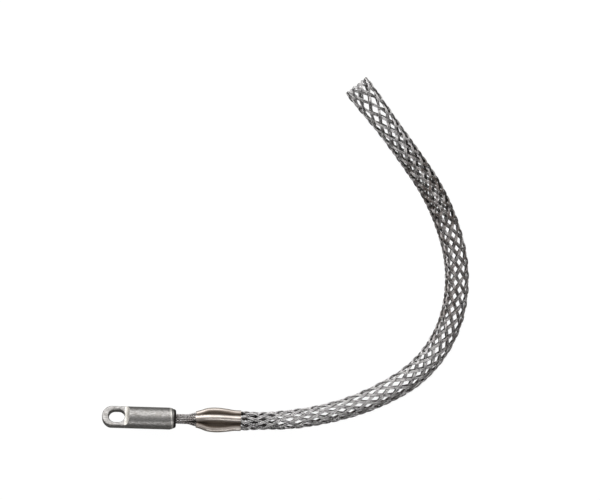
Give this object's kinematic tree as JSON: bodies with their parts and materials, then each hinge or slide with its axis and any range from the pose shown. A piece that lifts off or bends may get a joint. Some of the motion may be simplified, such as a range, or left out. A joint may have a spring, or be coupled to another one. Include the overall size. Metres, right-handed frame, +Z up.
{
  "type": "cable pulling grip",
  "caption": "Woven wire rope sleeve that grips a cable when pulled, with shoulder tubes and a rotating steel pulling eye.",
  "frame": {"origin": "on the surface that the grip lies on, under the middle of its outline", "axes": "+X along the barrel from the pulling eye towards the sleeve, +Z up from the surface, the sleeve curving towards +Y"},
  "size_m": [0.3626, 0.3606, 0.0281],
  "materials": {
    "forged_steel": "bare forged steel, satin, mottled grey",
    "bush_steel": "dark machined steel",
    "tube_steel": "smooth drawn steel tube, pale and warm",
    "wire_rope": "laid galvanised steel wires, dull grey with bright highlights"
  },
  "bodies": {
    "grip": {"swaged_ferrule": "bush_steel", "shoulder_tube_1": "tube_steel", "shoulder_tube_2": "tube_steel", "shoulder_tube_3": "tube_steel", "shoulder_tube_4": "tube_steel", "lead_rope_1_1": "wire_rope", "lead_rope_1_2": "wire_rope", "lead_rope_1_3": "wire_rope", "lead_rope_1_4": "wire_rope", "lead_rope_1_5": "wire_rope", "lead_rope_1_6": "wire_rope", "lead_rope_1_7": "wire_rope", "lead_rope_1_8": "wire_rope", "lead_rope_2_1": "wire_rope", "lead_rope_2_2": "wire_rope", "lead_rope_2_3": "wire_rope", "lead_rope_2_4": "wire_rope", "lead_rope_2_5": "wire_rope", "lead_rope_2_6": "wire_rope", "lead_rope_2_7": "wire_rope", "lead_rope_2_8": "wire_rope", "lead_rope_3_1": "wire_rope", "lead_rope_3_2": "wire_rope", "lead_rope_3_3": "wire_rope", "lead_rope_3_4": "wire_rope", "lead_rope_3_5": "wire_rope", "lead_rope_3_6": "wire_rope", "lead_rope_3_7": "wire_rope", "lead_rope_3_8": "wire_rope", "lead_rope_4_1": "wire_rope", "lead_rope_4_2": "wire_rope", "lead_rope_4_3": "wire_rope", "lead_rope_4_4": "wire_rope", "lead_rope_4_5": "wire_rope", "lead_rope_4_6": "wire_rope", "lead_rope_4_7": "wire_rope", "lead_rope_4_8": "wire_rope", "woven_sleeve": "wire_rope"},
    "eye": {"eye_barrel": "forged_steel", "retaining_bush": "bush_steel"}
  },
  "joints": [
    {"name": "eye_swivel", "type": "hinge", "parent": "grip", "child": "eye", "pos_m": [-0.11131, -0.16791, 0.01248], "axis": [1, 0, 0], "continuous": true}
  ]
}
